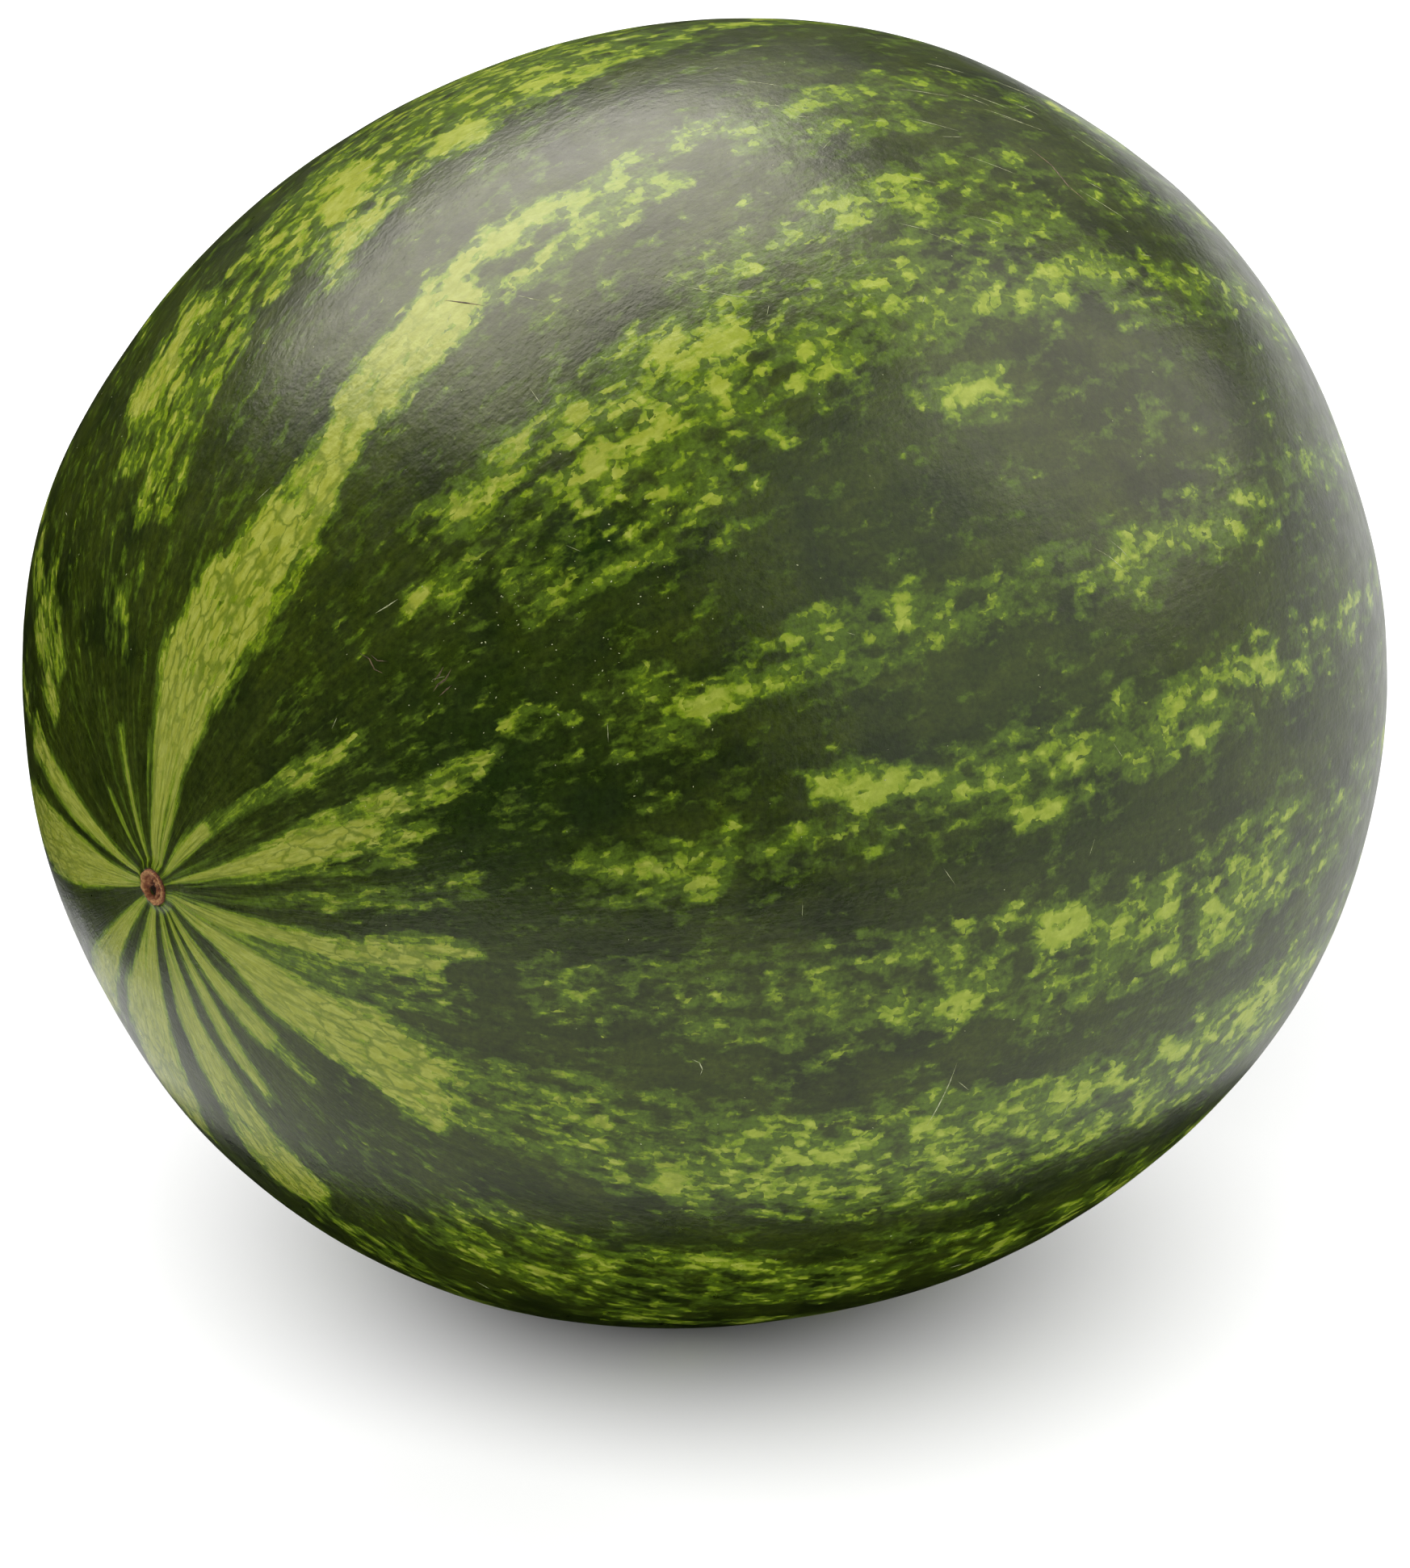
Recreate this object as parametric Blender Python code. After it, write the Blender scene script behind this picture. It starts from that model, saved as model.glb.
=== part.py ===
"""A mini seedless watermelon, whole, lying on the small flat spot it rests on.

The fruit is one closed body. Its long axis runs along X, with the stem scar at -X and the
blossom scar at +X. +Z is up, and the rest spot lies in the plane Z = 0. Units are metres.
"""
import math
from collections import namedtuple

import bmesh
import bpy
from mathutils import Matrix, Vector

MM = 0.001

# Driving dimensions
LENGTH = 174.0 * MM
GIRTH_DIAMETER = 162.0 * MM
REST_SPOT_RADIUS = 15.0 * MM
STEM_SCAR_RADIUS = 2.5 * MM
BLOSSOM_SCAR_RADIUS = 1.7 * MM

# Each scar is a corky button with a raised rim, sunk in a shallow dimple of the rind.
# These are shares of the scar's radius.
DIMPLE_TO_SCAR = 2.0
DIMPLE_DEPTH = 0.2
RIM_HEIGHT = 0.18
RIM_WIDTH = 0.25

# LENGTH and GIRTH_DIAMETER are those of a plain spheroid. The fruit departs from it by
# broad, low swells and hollows. from_stem and around are degrees: along the fruit from
# the stem scar, and about its length from the top towards -Y. spread is in degrees too.
Swell = namedtuple("Swell", "from_stem around height spread")
FLATTENED_ENDS = (
    Swell(0, 0, -1.1 * MM, 20),
    Swell(180, 0, -0.7 * MM, 18),
)
LUMPS_OF_GROWTH = (
    Swell(44, -68, 1.1 * MM, 14),
    Swell(29, -140, -0.6 * MM, 12),
    Swell(75, 151, -0.8 * MM, 16),
    Swell(120, 119, 1.1 * MM, 20),
    Swell(144, 58, -0.9 * MM, 14),
    Swell(116, -11, 0.8 * MM, 15),
    Swell(80, -36, -0.6 * MM, 20),
    Swell(95, -115, 0.8 * MM, 22),
    Swell(136, -128, -0.6 * MM, 18),
)

# Mesh fineness
BALL_SUBDIVISIONS = 5
SCAR_REFINEMENTS = (16.0 * MM, 9.0 * MM, 5.0 * MM)

RIND_COLOUR = (0.075, 0.130, 0.022, 1.0)
RIND_ROUGHNESS = 0.36


def clear_scene():
    for obj in list(bpy.data.objects):
        bpy.data.objects.remove(obj, do_unlink=True)


def waxy_rind():
    """The hard green skin with its thin coat of natural wax."""
    material = bpy.data.materials.new("waxy_rind")
    material.use_nodes = True
    shader = material.node_tree.nodes["Principled BSDF"]
    shader.inputs["Base Color"].default_value = RIND_COLOUR
    shader.inputs["Roughness"].default_value = RIND_ROUGHNESS
    shader.inputs["Metallic"].default_value = 0.0
    return material


def direction(from_stem, around):
    """The unit direction of a place named by its two angles, in degrees."""
    along = math.radians(from_stem)
    about = math.radians(around)
    return Vector((-math.cos(along), -math.sin(along) * math.sin(about), math.sin(along) * math.cos(about)))


def swell_height(way):
    """How far the broad swells lift the surface in a unit direction."""
    lift = 0.0
    for swell in FLATTENED_ENDS + LUMPS_OF_GROWTH:
        apart = way.angle(direction(swell.from_stem, swell.around))
        lift += swell.height * math.exp(-((apart / math.radians(swell.spread)) ** 2))
    return lift


def off_axis(way):
    """Distance from the fruit's long axis, for a unit direction."""
    return GIRTH_DIAMETER / 2 * math.hypot(way.y, way.z)


def scar_height(way):
    """The dimple and the raised rim of the scar at the end that the direction faces."""
    scar = STEM_SCAR_RADIUS if way.x < 0 else BLOSSOM_SCAR_RADIUS
    reach = off_axis(way) / scar
    dimple = -DIMPLE_DEPTH * scar * math.exp(-((reach / DIMPLE_TO_SCAR) ** 2))
    rim = RIM_HEIGHT * scar * math.exp(-(((reach - 1) / RIM_WIDTH) ** 2))
    return dimple + rim


def surface_point(way):
    """The point of the rind in a unit direction, measured on the round ball."""
    semi_axes = Vector((LENGTH / 2, GIRTH_DIAMETER / 2, GIRTH_DIAMETER / 2))
    spheroid = Vector(w * s for w, s in zip(way, semi_axes))
    normal = Vector(w / s for w, s in zip(way, semi_axes)).normalized()
    return spheroid + normal * (swell_height(way) + scar_height(way))


def ball_of_even_triangles():
    """A unit ball with a corner at each end of X, finer round the two scars."""
    bm = bmesh.new()
    bmesh.ops.create_icosphere(
        bm,
        subdivisions=BALL_SUBDIVISIONS,
        radius=1.0,
        matrix=Matrix.Rotation(math.radians(90), 4, "Y"),
    )
    for reach in SCAR_REFINEMENTS:
        near = [edge for edge in bm.edges if all(off_axis(v.co) < reach for v in edge.verts)]
        bmesh.ops.subdivide_edges(bm, edges=near, cuts=1)
        bmesh.ops.triangulate(bm, faces=bm.faces[:])
        for vert in bm.verts:
            vert.co.normalize()
    return bm


def box_of(bm):
    lows = Vector(min(v.co[axis] for v in bm.verts) for axis in range(3))
    highs = Vector(max(v.co[axis] for v in bm.verts) for axis in range(3))
    return lows, highs


def rest_spot_height():
    """How much of the round underside the flat spot takes away."""
    across = (REST_SPOT_RADIUS / (GIRTH_DIAMETER / 2)) ** 2
    return GIRTH_DIAMETER / 2 * (1 - math.sqrt(1 - across))


def flatten_underside(bm):
    """Cut the underside level and close it with one flat face, the rest spot."""
    low, _ = box_of(bm)
    cut = Vector((0, 0, low.z + rest_spot_height()))
    geometry = bm.verts[:] + bm.edges[:] + bm.faces[:]
    bmesh.ops.bisect_plane(
        bm, geom=geometry, dist=1e-7, plane_co=cut, plane_no=Vector((0, 0, 1)), clear_inner=True
    )
    open_edges = [edge for edge in bm.edges if edge.is_boundary]
    bmesh.ops.contextual_create(bm, geom=open_edges)


def stand_on_origin(bm):
    """Put the middle of the box over the origin and the rest spot at Z = 0."""
    low, high = box_of(bm)
    middle = (low + high) / 2
    bmesh.ops.translate(bm, verts=bm.verts[:], vec=Vector((-middle.x, -middle.y, -low.z)))


def make_watermelon():
    bm = ball_of_even_triangles()
    for vert in bm.verts:
        vert.co = surface_point(vert.co)
    flatten_underside(bm)
    stand_on_origin(bm)
    bmesh.ops.recalc_face_normals(bm, faces=bm.faces[:])

    mesh = bpy.data.meshes.new("watermelon")
    bm.to_mesh(mesh)
    bm.free()
    mesh.shade_smooth()
    mesh.set_sharp_from_angle(angle=math.radians(40))
    mesh.materials.append(waxy_rind())
    fruit = bpy.data.objects.new("watermelon", mesh)
    bpy.context.scene.collection.objects.link(fruit)
    return fruit


clear_scene()
make_watermelon()
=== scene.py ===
# %% [markdown]
# A mini seedless watermelon, as bought: whole, waxy and striped, lying on the small flat
# spot it rests on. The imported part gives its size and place. This script gives it the rind
# that the eye knows: dark green with broken pale stripes, and a corky scar at each end.

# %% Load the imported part
import random
from math import acos, asin, cos, degrees, exp, hypot, pi, radians, sin, sqrt, tan

import bmesh
import bpy
import numpy as np
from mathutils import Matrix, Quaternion, Vector, noise


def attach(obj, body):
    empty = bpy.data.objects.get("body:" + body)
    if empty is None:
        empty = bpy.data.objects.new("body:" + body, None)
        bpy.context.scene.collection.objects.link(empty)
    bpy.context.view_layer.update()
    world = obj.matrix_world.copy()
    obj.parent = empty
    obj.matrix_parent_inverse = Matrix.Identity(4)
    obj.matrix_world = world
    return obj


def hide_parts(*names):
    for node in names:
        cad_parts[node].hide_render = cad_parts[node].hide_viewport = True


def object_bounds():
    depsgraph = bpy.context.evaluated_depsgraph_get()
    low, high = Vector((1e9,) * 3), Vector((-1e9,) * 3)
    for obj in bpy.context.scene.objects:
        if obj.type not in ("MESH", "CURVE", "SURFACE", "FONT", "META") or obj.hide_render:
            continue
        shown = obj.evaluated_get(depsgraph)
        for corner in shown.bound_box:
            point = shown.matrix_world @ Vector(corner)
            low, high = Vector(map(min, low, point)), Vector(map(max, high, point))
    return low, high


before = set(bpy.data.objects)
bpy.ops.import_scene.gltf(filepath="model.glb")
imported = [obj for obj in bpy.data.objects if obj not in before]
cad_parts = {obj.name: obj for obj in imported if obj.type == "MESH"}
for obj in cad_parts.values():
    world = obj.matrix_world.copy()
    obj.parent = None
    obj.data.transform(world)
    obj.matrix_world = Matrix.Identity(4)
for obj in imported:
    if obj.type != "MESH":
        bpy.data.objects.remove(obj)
cad_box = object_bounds()
MM = 0.001
print("part, in mm:", [[round(x / MM, 1) for x in corner] for corner in cad_box])

# %% [markdown]
# Shape of the fruit. A melon grows almost as a spheroid, a little longer than it is thick,
# with broad lumps and a flattened stem end. The part's source says so in a formula, and the
# same formula is used here, because a rind that follows it exactly sits on the part from
# every side. A sculpted or scanned skin would have to be fitted. Two angles name a place:
# from_stem runs from the stem scar (0) to the blossom scar (180), and around runs from the
# top (0) down the side that faces the camera (90) to the underside (180).

# %% The formula of the fruit
LENGTH = 174.0 * MM
GIRTH_DIAMETER = 162.0 * MM
REST_SPOT_RADIUS = 15.0 * MM
STEM_SCAR_RADIUS = 2.5 * MM
BLOSSOM_SCAR_RADIUS = 1.7 * MM
# The dimple and the rim of a scar, in shares of the scar's radius
DIMPLE_TO_SCAR, DIMPLE_DEPTH, RIM_HEIGHT, RIM_WIDTH = 2.0, 0.2, 0.18, 0.25
SEMI_AXES = np.array((LENGTH, GIRTH_DIAMETER, GIRTH_DIAMETER)) / 2
# Each lump or hollow is (from_stem, around, height in mm, spread in degrees)
SWELLS = (
    (0, 0, -1.1, 20),
    (180, 0, -0.7, 18),
    (44, -68, 1.1, 14),
    (29, -140, -0.6, 12),
    (75, 151, -0.8, 16),
    (120, 119, 1.1, 20),
    (144, 58, -0.9, 14),
    (116, -11, 0.8, 15),
    (80, -36, -0.6, 20),
    (95, -115, 0.8, 22),
    (136, -128, -0.6, 18),
)


def ways(from_stem, around):
    """Unit directions of places named by their two angles, in degrees."""
    along, about = np.radians(from_stem), np.radians(around)
    parts = (-np.cos(along), -np.sin(along) * np.sin(about), np.sin(along) * np.cos(about))
    return np.stack(np.broadcast_arrays(*parts), axis=-1)


def rind_points(way):
    """Points of the rind in unit directions, and its normals, before it is set down."""
    spheroid = way * SEMI_AXES
    normal = way / SEMI_AXES
    normal /= np.linalg.norm(normal, axis=-1, keepdims=True)
    lift = np.zeros(way.shape[:-1])
    for from_stem, around, height, spread in SWELLS:
        apart = np.degrees(np.arccos(np.clip(way @ ways(from_stem, around), -1, 1)))
        lift += height * MM * np.exp(-((apart / spread) ** 2))
    scar = np.where(way[..., 0] < 0, STEM_SCAR_RADIUS, BLOSSOM_SCAR_RADIUS)
    reach = GIRTH_DIAMETER / 2 * np.hypot(way[..., 1], way[..., 2]) / scar
    lift -= DIMPLE_DEPTH * scar * np.exp(-((reach / DIMPLE_TO_SCAR) ** 2))
    lift += RIM_HEIGHT * scar * np.exp(-(((reach - 1) / RIM_WIDTH) ** 2))
    return spheroid + normal * lift[..., None], normal


# %% [markdown]
# The rind's mesh. Rings from scar to scar, closer together near the scars, follow the way
# a melon grows: its stripes, veins and grain all run along the meridians. An even ball of
# triangles would do for the shape, but here every ring and meridian has its angle, so the
# markings can be put in place by angle. The finest part of the shape is very low waves,
# 6 and 16 mm across, that make the gloss wander as it does on a real rind.

# %% Rings and meridians of the rind
MERIDIANS = 400
BODY_RINGS = 186
RINGS_NEAR_SCAR = np.arange(0.8, 7.0, 0.35)
# The rind is cut open here, on its underside, to be laid out as a sheet
SEAM = 176.0
MEAN_RADIUS = GIRTH_DIAMETER / 2 / MM


def ring_angles():
    """Angles from the stem at which the rings lie, close together at both ends."""
    end = np.degrees(RINGS_NEAR_SCAR / MEAN_RADIUS)
    body = np.linspace(end[-1], 180 - end[-1], BODY_RINGS)
    return np.concatenate((end[:-1], body, 180 - end[:-1][::-1]))


rings = ring_angles()
meridians = SEAM - 360 + np.arange(MERIDIANS) * 360 / MERIDIANS
grid_stem, grid_around = np.meshgrid(rings, meridians, indexing="ij")
angle_stem = np.concatenate((grid_stem.ravel(), (0.0, 180.0)))
angle_around = np.concatenate((grid_around.ravel(), (0.0, 0.0)))
points, normals = rind_points(ways(angle_stem, angle_around))
print("rings:", len(rings), "meridians:", MERIDIANS)

# %% Low waves, and the fruit set down on its rest spot
BROAD_WAVE, BROAD_HEIGHT = 16.0 * MM, 0.10 * MM
SMALL_WAVE, SMALL_HEIGHT = 6.0 * MM, 0.05 * MM
NOISE_TOP = 0.6
CALM_ROUND_SCARS = 8.0


def low_waves(place):
    """Relief of the growing rind at one place, hardly ever above the formula."""
    broad = noise.noise(place / BROAD_WAVE)
    small = noise.noise(place / SMALL_WAVE + Vector((7, 3, 1)))
    return BROAD_HEIGHT * (broad - NOISE_TOP) + SMALL_HEIGHT * (small - NOISE_TOP)


away_from_scars = np.clip(np.minimum(angle_stem, 180 - angle_stem) / CALM_ROUND_SCARS, 0, 1)
waves = np.array([low_waves(Vector(p)) for p in points]) * away_from_scars
points = points + normals * waves[:, None]

across = (REST_SPOT_RADIUS / (GIRTH_DIAMETER / 2)) ** 2
rest_height = points[:, 2].min() + GIRTH_DIAMETER / 2 * (1 - sqrt(1 - across))
points[:, 2] = np.maximum(points[:, 2], rest_height)
middle = (cad_box[0] + cad_box[1]) / 2
own_middle = (points.min(axis=0) + points.max(axis=0)) / 2
SET_DOWN = np.array((middle.x - own_middle[0], middle.y - own_middle[1], -rest_height))
points = points + SET_DOWN
print("rind, in mm:", (points.min(axis=0) / MM).round(2), (points.max(axis=0) / MM).round(2))


# %% Faces, the sheet and the tube
# The sheet is the rind unrolled flat, so that its finish can be kept as an image. The tube
# is its map in mm, with the long axis along Z, so that a pattern can be drawn out that way.
def rind_faces():
    """Quads between the rings and a fan at each scar, with each corner's place on the sheet."""
    made, places = [], []
    last = len(rings) - 1
    stem_point, blossom_point = len(rings) * MERIDIANS, len(rings) * MERIDIANS + 1
    for ring in range(last):
        for step in range(MERIDIANS):
            quad = ((ring, step), (ring, step + 1), (ring + 1, step + 1), (ring + 1, step))
            made.append([r * MERIDIANS + s % MERIDIANS for r, s in quad])
            places += [(rings[r], s) for r, s in quad]
    for point, angle, ring, turns in ((stem_point, 0.0, 0, (1, 0)), (blossom_point, 180.0, last, (0, 1))):
        for step in range(MERIDIANS):
            made.append([point] + [ring * MERIDIANS + (step + t) % MERIDIANS for t in turns])
            places += [(angle, step + 0.5)] + [(rings[ring], step + t) for t in turns]
    return made, np.array(places, float)


def placed(name, data):
    """A new object that shows this mesh, light or camera."""
    made = bpy.data.objects.new(name, data)
    bpy.context.scene.collection.objects.link(made)
    return made


faces, corners = rind_faces()
mesh = bpy.data.meshes.new("rind")
mesh.from_pydata(points.tolist(), [], faces)
MM_PER_DEGREE = pi / 180 * MEAN_RADIUS * (1 + LENGTH / GIRTH_DIAMETER) / 2
sheet = np.stack((corners[:, 1] / MERIDIANS, corners[:, 0] / 180), 1)
mesh.uv_layers.new(name="OFBake").data.foreach_set("uv", sheet.astype(np.float32).ravel())
turn = np.radians(angle_around)
tube = np.stack((MEAN_RADIUS * np.cos(turn), MEAN_RADIUS * np.sin(turn), angle_stem * MM_PER_DEGREE), 1)
layer = mesh.attributes.new("tube", "FLOAT_VECTOR", "POINT")
layer.data.foreach_set("vector", tube.astype(np.float32).ravel())
mesh.shade_smooth()
rind = placed("rind", mesh)
print("rind:", len(mesh.vertices), "points,", len(mesh.polygons), "faces")

# %% [markdown]
# Where the stripes lie. A striped melon has about a dozen pale stripes. Round the stem
# they are clean wedges, like the gores of a ball, and further on each breaks up into
# mottled green with pale flecks. They could be painted by hand on an image, or come from
# one noise. Here each wedge and patch is a named place, two angles long and wide, as a
# stencil cutter would lay them out. They are turned into one smooth field on the mesh,
# and the material breaks their edges up. So the big shapes are where the real ones are,
# and no picture is needed.

# %% Wedges round the stem
# How strongly a shape comes through the dark skin, from all pale to a faint green
SOLID, FLECKED, LEAFY, GREEN, FAINT = 1.12, 0.51, 0.44, 0.29, 0.25
# Each wedge is a list of (from_stem, lower edge, upper edge), in degrees
WEDGES = (
    (SOLID, ((1.5, -9, 20), (4, -8, 20), (8, -4, 18), (12, -5, 14.5), (15, -6, 15), (20, -7.5, 15.5),
             (25, -4, 16.5), (30, -1, 16), (31.5, 3, 16), (36, 3.5, 16), (37, 5, 14), (39.5, 5, 13),
             (44, 5, 11), (46, 3.5, 11.5), (57, 2.5, 11), (61, 2.5, 10))),
    (SOLID, ((60, 2.2, 6), (66, 3, 6.5), (71, 4, 7))),
    (FLECKED, ((60, 8, 11.5), (71, 8, 12), (75, 9, 12.5))),
    (SOLID, ((1.5, -31, -23), (8, -29, -25), (14, -28, -26.5))),
    (FLECKED, ((1.5, -53, -43), (6, -51, -45), (10, -50, -47))),
    (GREEN, ((1.5, -62, -56), (7, -60, -58))),
    (SOLID, ((1.5, -88, -75), (15, -87, -77), (25, -86, -79))),
    (SOLID, ((1.5, -116, -92), (15, -115, -93), (24, -113, -95), (29, -108, -98))),
    (SOLID, ((1.5, -147, -133), (15, -147, -134), (24, -146, -135), (29, -144, -139))),
    (SOLID, ((1.5, -178, -158), (6, -178, -158), (15, -177, -152), (24, -176, -155), (31, -173, -160))),
    (SOLID, ((1.5, 158, 170), (8, 158, 170), (12, 160, 173), (20, 156, 171), (32, 156, 171), (34, 161, 167))),
    (SOLID, ((1.5, 139, 149), (8, 140, 149), (15, 143, 150), (21, 145.5, 148))),
    (SOLID, ((1.5, 122, 134), (10, 123, 134), (17, 124, 132))),
    (FLECKED, ((16, 124, 132), (22, 126, 130))),
    (SOLID, ((1.5, 95, 108), (8, 95, 108), (15, 98, 116), (25, 98, 116), (30, 102, 118), (33, 113, 119))),
    (SOLID, ((1.5, 82, 93), (8, 82, 93), (15, 83, 89), (26, 83.5, 88), (26.5, 82, 88), (30.5, 82, 88.5),
             (31, 82, 84), (34, 82, 83))),
    (FLECKED, ((18, 88, 90.5), (23, 88, 90))),
    (SOLID, ((1.5, 56.5, 63.5), (8, 57, 63.5), (15, 57, 65.5), (20, 55.5, 64.5), (27, 55.5, 63))),
    (SOLID, ((26, 55, 58.5), (31, 55.5, 58))),
    (FLECKED, ((30, 54.5, 59), (36, 54.5, 58.5), (40, 55, 57))),
    (SOLID, ((33, 57, 58.5), (35.5, 57, 58.5))),
    (SOLID, ((26, 59.5, 63.5), (29, 60, 63.5), (32.5, 61.3, 62.3))),
    (SOLID, ((1.5, 32, 44), (7, 31, 45), (11, 35, 44))),
    (FLECKED, ((12, 36, 46), (16, 39, 45), (20, 41, 47), (25, 42, 46.5), (30, 43.7, 45))),
    (SOLID, ((21, 43.5, 46.5), (25, 43, 46), (27.5, 43.5, 45), (29.5, 44.2, 45))),
    (LEAFY, ((3, 64, 69), (18, 64.5, 67.5), (30, 65, 67.5))),
    (LEAFY, ((3, 71, 78), (24, 71, 76), (36, 70, 75))),
    (LEAFY, ((6, 89, 97), (14, 90, 98), (22, 89, 95))),
    (GREEN, ((18, 88, 98), (34, 88, 96))),
    (LEAFY, ((2, -20, -9), (8, -12, -7), (14, -9, -6.5))),
    (GREEN, ((2, -44, -31), (10, -40, -33), (18, -38, -34))),
    (GREEN, ((2, 44, 56), (9, 47, 55), (16, 48, 53))),
)

# %% [markdown]
# Broken bands. Past the wedges the pale flesh colour shows through the dark skin only in
# patches: solid pale ones a few millimetres wide, others flecked or leafy, and a mottled
# brighter green round and between them. They lie in loose rows along the fruit, one row below the
# other, and each row is a list here.

# %% Rows of patches behind, on top and on the upper side
# Each patch is (from_stem first and last, around first and last), in degrees
ROW_BEHIND = {
    SOLID: ((42, 46, -37, -28), (45, 53, -33.5, -28.5), (42, 45, -27, -24.5), (60, 67, -21, -15),
            (57.5, 60, -24, -21), (58, 63, -15, -10), (64, 69, -24, -18), (71, 75, -15, -9),
            (80, 84, -15, -11), (26, 31, -66, -62), (20, 24.5, -68, -63), (101, 103, -13, -11)),
    FLECKED: ((37, 39, -25, -23), (42, 47, -20.5, -16), (48, 53, -27, -20), (55, 64, -24, -14),
              (70, 93, -29, -10), (65, 68, -28, -24), (31.5, 33, -21, -17), (36, 40, -32, -28),
              (22, 31, -61, -55), (83, 90, -27, -12), (98, 104, -15, -10)),
    LEAFY: ((36, 55, -36, -15), (55, 72, -30, -10), (70, 98, -33, -9), (31, 37, -26, -15),
            (22, 33, -63, -53), (52, 58, -12, -8), (23, 26, -28, -23)),
}
ROW_TOP = {
    FLECKED: ((70, 80, 4.5, 10), (81, 85, 5, 8), (90, 100, 6.5, 9.2)),
    LEAFY: ((72, 80, 5, 12), (81, 89, 4.5, 8.5), (85, 89, 10, 12.5), (90, 101, 5.5, 9.5),
            (94, 101, 11, 14.5), (111.5, 114, 7, 9)),
    GREEN: ((26.5, 29.5, 16.5, 19), (60, 64, 15, 17.5), (88, 103, 5, 15), (101, 117, 4, 9)),
}
ROW_UPPER = {
    SOLID: ((46, 49, 25.5, 28), (57, 60, 25, 27.5), (66, 70, 23, 27), (70.5, 74, 25.5, 30),
            (56.5, 59.5, 30, 35), (60, 64, 31, 34.5), (39, 42.5, 31.5, 34), (75.5, 79, 31, 33.5),
            (86.5, 91, 40.3, 43), (60.5, 63.5, 37.5, 39), (55, 57.5, 41, 43), (58.5, 61.5, 39.8, 41),
            (81.5, 83.5, 20.5, 22.5), (88, 90, 28, 29.5), (94.5, 98.5, 33, 34.7), (70, 71.3, 37, 39),
            (68.5, 70, 31, 33)),
    FLECKED: ((44, 58, 23, 29), (56, 67, 24.5, 29.5), (63, 76, 22, 31), (54, 64, 30, 36),
              (48.5, 50, 32, 34), (63.5, 67, 38.5, 41), (66, 71, 31, 36.5), (74, 81, 30, 35.5),
              (73, 85, 20, 24), (80, 91, 27.5, 32), (86, 97, 18, 24), (88, 97, 31, 36),
              (96, 105, 31, 35.5), (97, 100, 35.5, 39.5), (103, 115, 32.5, 36), (84, 92, 39.5, 44),
              (115, 128, 35.5, 39.5), (40, 44, 31, 35)),
    GREEN: ((42, 60, 22.5, 30), (38, 46, 30, 36), (46, 68, 29, 44), (58, 82, 21, 37),
            (72, 108, 18, 37), (95, 105, 21, 30), (83, 93, 38.5, 45), (62, 68, 41, 45),
            (105, 130, 33, 41)),
}

# %% Rows along the middle and the lower side
ROW_MIDDLE = {
    SOLID: ((55, 59, 57, 59.5), (72.5, 75, 54.8, 57.3), (52.3, 54, 52.3, 53.6), (92.5, 94.5, 58, 61),
            (106, 107.5, 58.5, 60.5)),
    FLECKED: ((54, 62, 56, 59.5), (60, 76, 57, 60), (64, 71, 54.5, 57), (71, 76, 54, 58),
              (75, 79, 56, 61), (85, 89, 57.5, 60), (92, 96, 57, 62), (95, 103, 56.5, 60.5),
              (101, 109, 58, 61.5), (109, 114, 57.5, 59.5), (121, 129, 55.5, 60)),
    GREEN: ((40, 48, 52, 56), (48, 56, 52, 63), (60, 80, 53.5, 62), (80, 115, 55, 62.5),
            (116, 130, 54, 61)),
}
ROW_LOWER = {
    SOLID: ((62.7, 67, 68.6, 71.6), (66, 71, 69, 72.6), (71, 74.8, 70.6, 73), (79.7, 83, 76, 78.3),
            (46.5, 48.3, 71.5, 72.8), (51, 52.5, 73.5, 75), (97, 99, 75.2, 77.2), (104.5, 108, 71.5, 73.5),
            (87, 88.5, 71.5, 73)),
    FLECKED: ((44, 49.5, 70.5, 74), (50, 56.5, 69.5, 78), (74, 83, 69.5, 74), (82, 91, 70, 75),
              (91, 100, 71, 77.5), (98, 110, 71, 75), (108, 114, 73, 77), (115.5, 117.5, 72, 74)),
    GREEN: ((43, 58, 69.5, 78), (58, 76, 72, 77), (74, 114, 69.5, 77.5), (20, 25, 71.5, 74.5),
            (114, 127, 70.5, 77)),
}

# %% Rows along the belly and under it
ROW_BELLY = {
    SOLID: ((80.5, 85, 86.3, 90.3), (97, 101, 91.5, 94.5), (72, 75, 91.5, 94.3), (76, 78, 84.8, 86.3),
            (91, 94, 93.6, 95.3), (86, 88.5, 92, 93.8), (103, 105, 90, 92)),
    FLECKED: ((67, 75, 90.5, 94.8), (70, 74, 85, 89), (79.5, 86, 85.5, 91), (85, 95, 87, 92.5),
              (90, 95, 93, 96), (96, 109, 88, 97), (50, 54, 91, 94), (41, 43.5, 88.5, 91)),
    GREEN: ((48, 78, 84.5, 95), (78, 112, 84.5, 97.5)),
    FAINT: ((38, 66, 84, 93), (112, 131, 89, 98), (42, 46, 96, 98.5), (59, 65, 95, 98)),
}
ROW_BELOW = {
    SOLID: ((50, 54, 113, 116.5), (43, 45, 110.5, 112.5), (58.5, 61.5, 108, 111), (86, 90, 105, 108),
            (70.5, 73, 105.5, 108), (62, 66, 107.5, 110.5), (74, 77, 109, 112), (30.5, 33, 104, 108),
            (92.5, 95, 111, 114), (94.5, 97, 105.5, 107.5), (104, 108, 107, 110)),
    FLECKED: ((29, 34, 101, 111), (32, 36.5, 110, 115), (40, 46, 103, 108.5), (43, 50, 109, 113.5),
              (47, 57, 111, 118), (54, 63, 104, 115), (60, 71, 106, 117.5), (68, 79, 104.5, 115),
              (79, 91, 103.5, 115), (91, 98, 105, 115), (98, 113, 103.5, 115)),
    GREEN: ((28, 50, 100, 117), (48, 80, 102, 119), (78, 116, 102.5, 116), (116, 132, 104, 114)),
}
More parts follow.
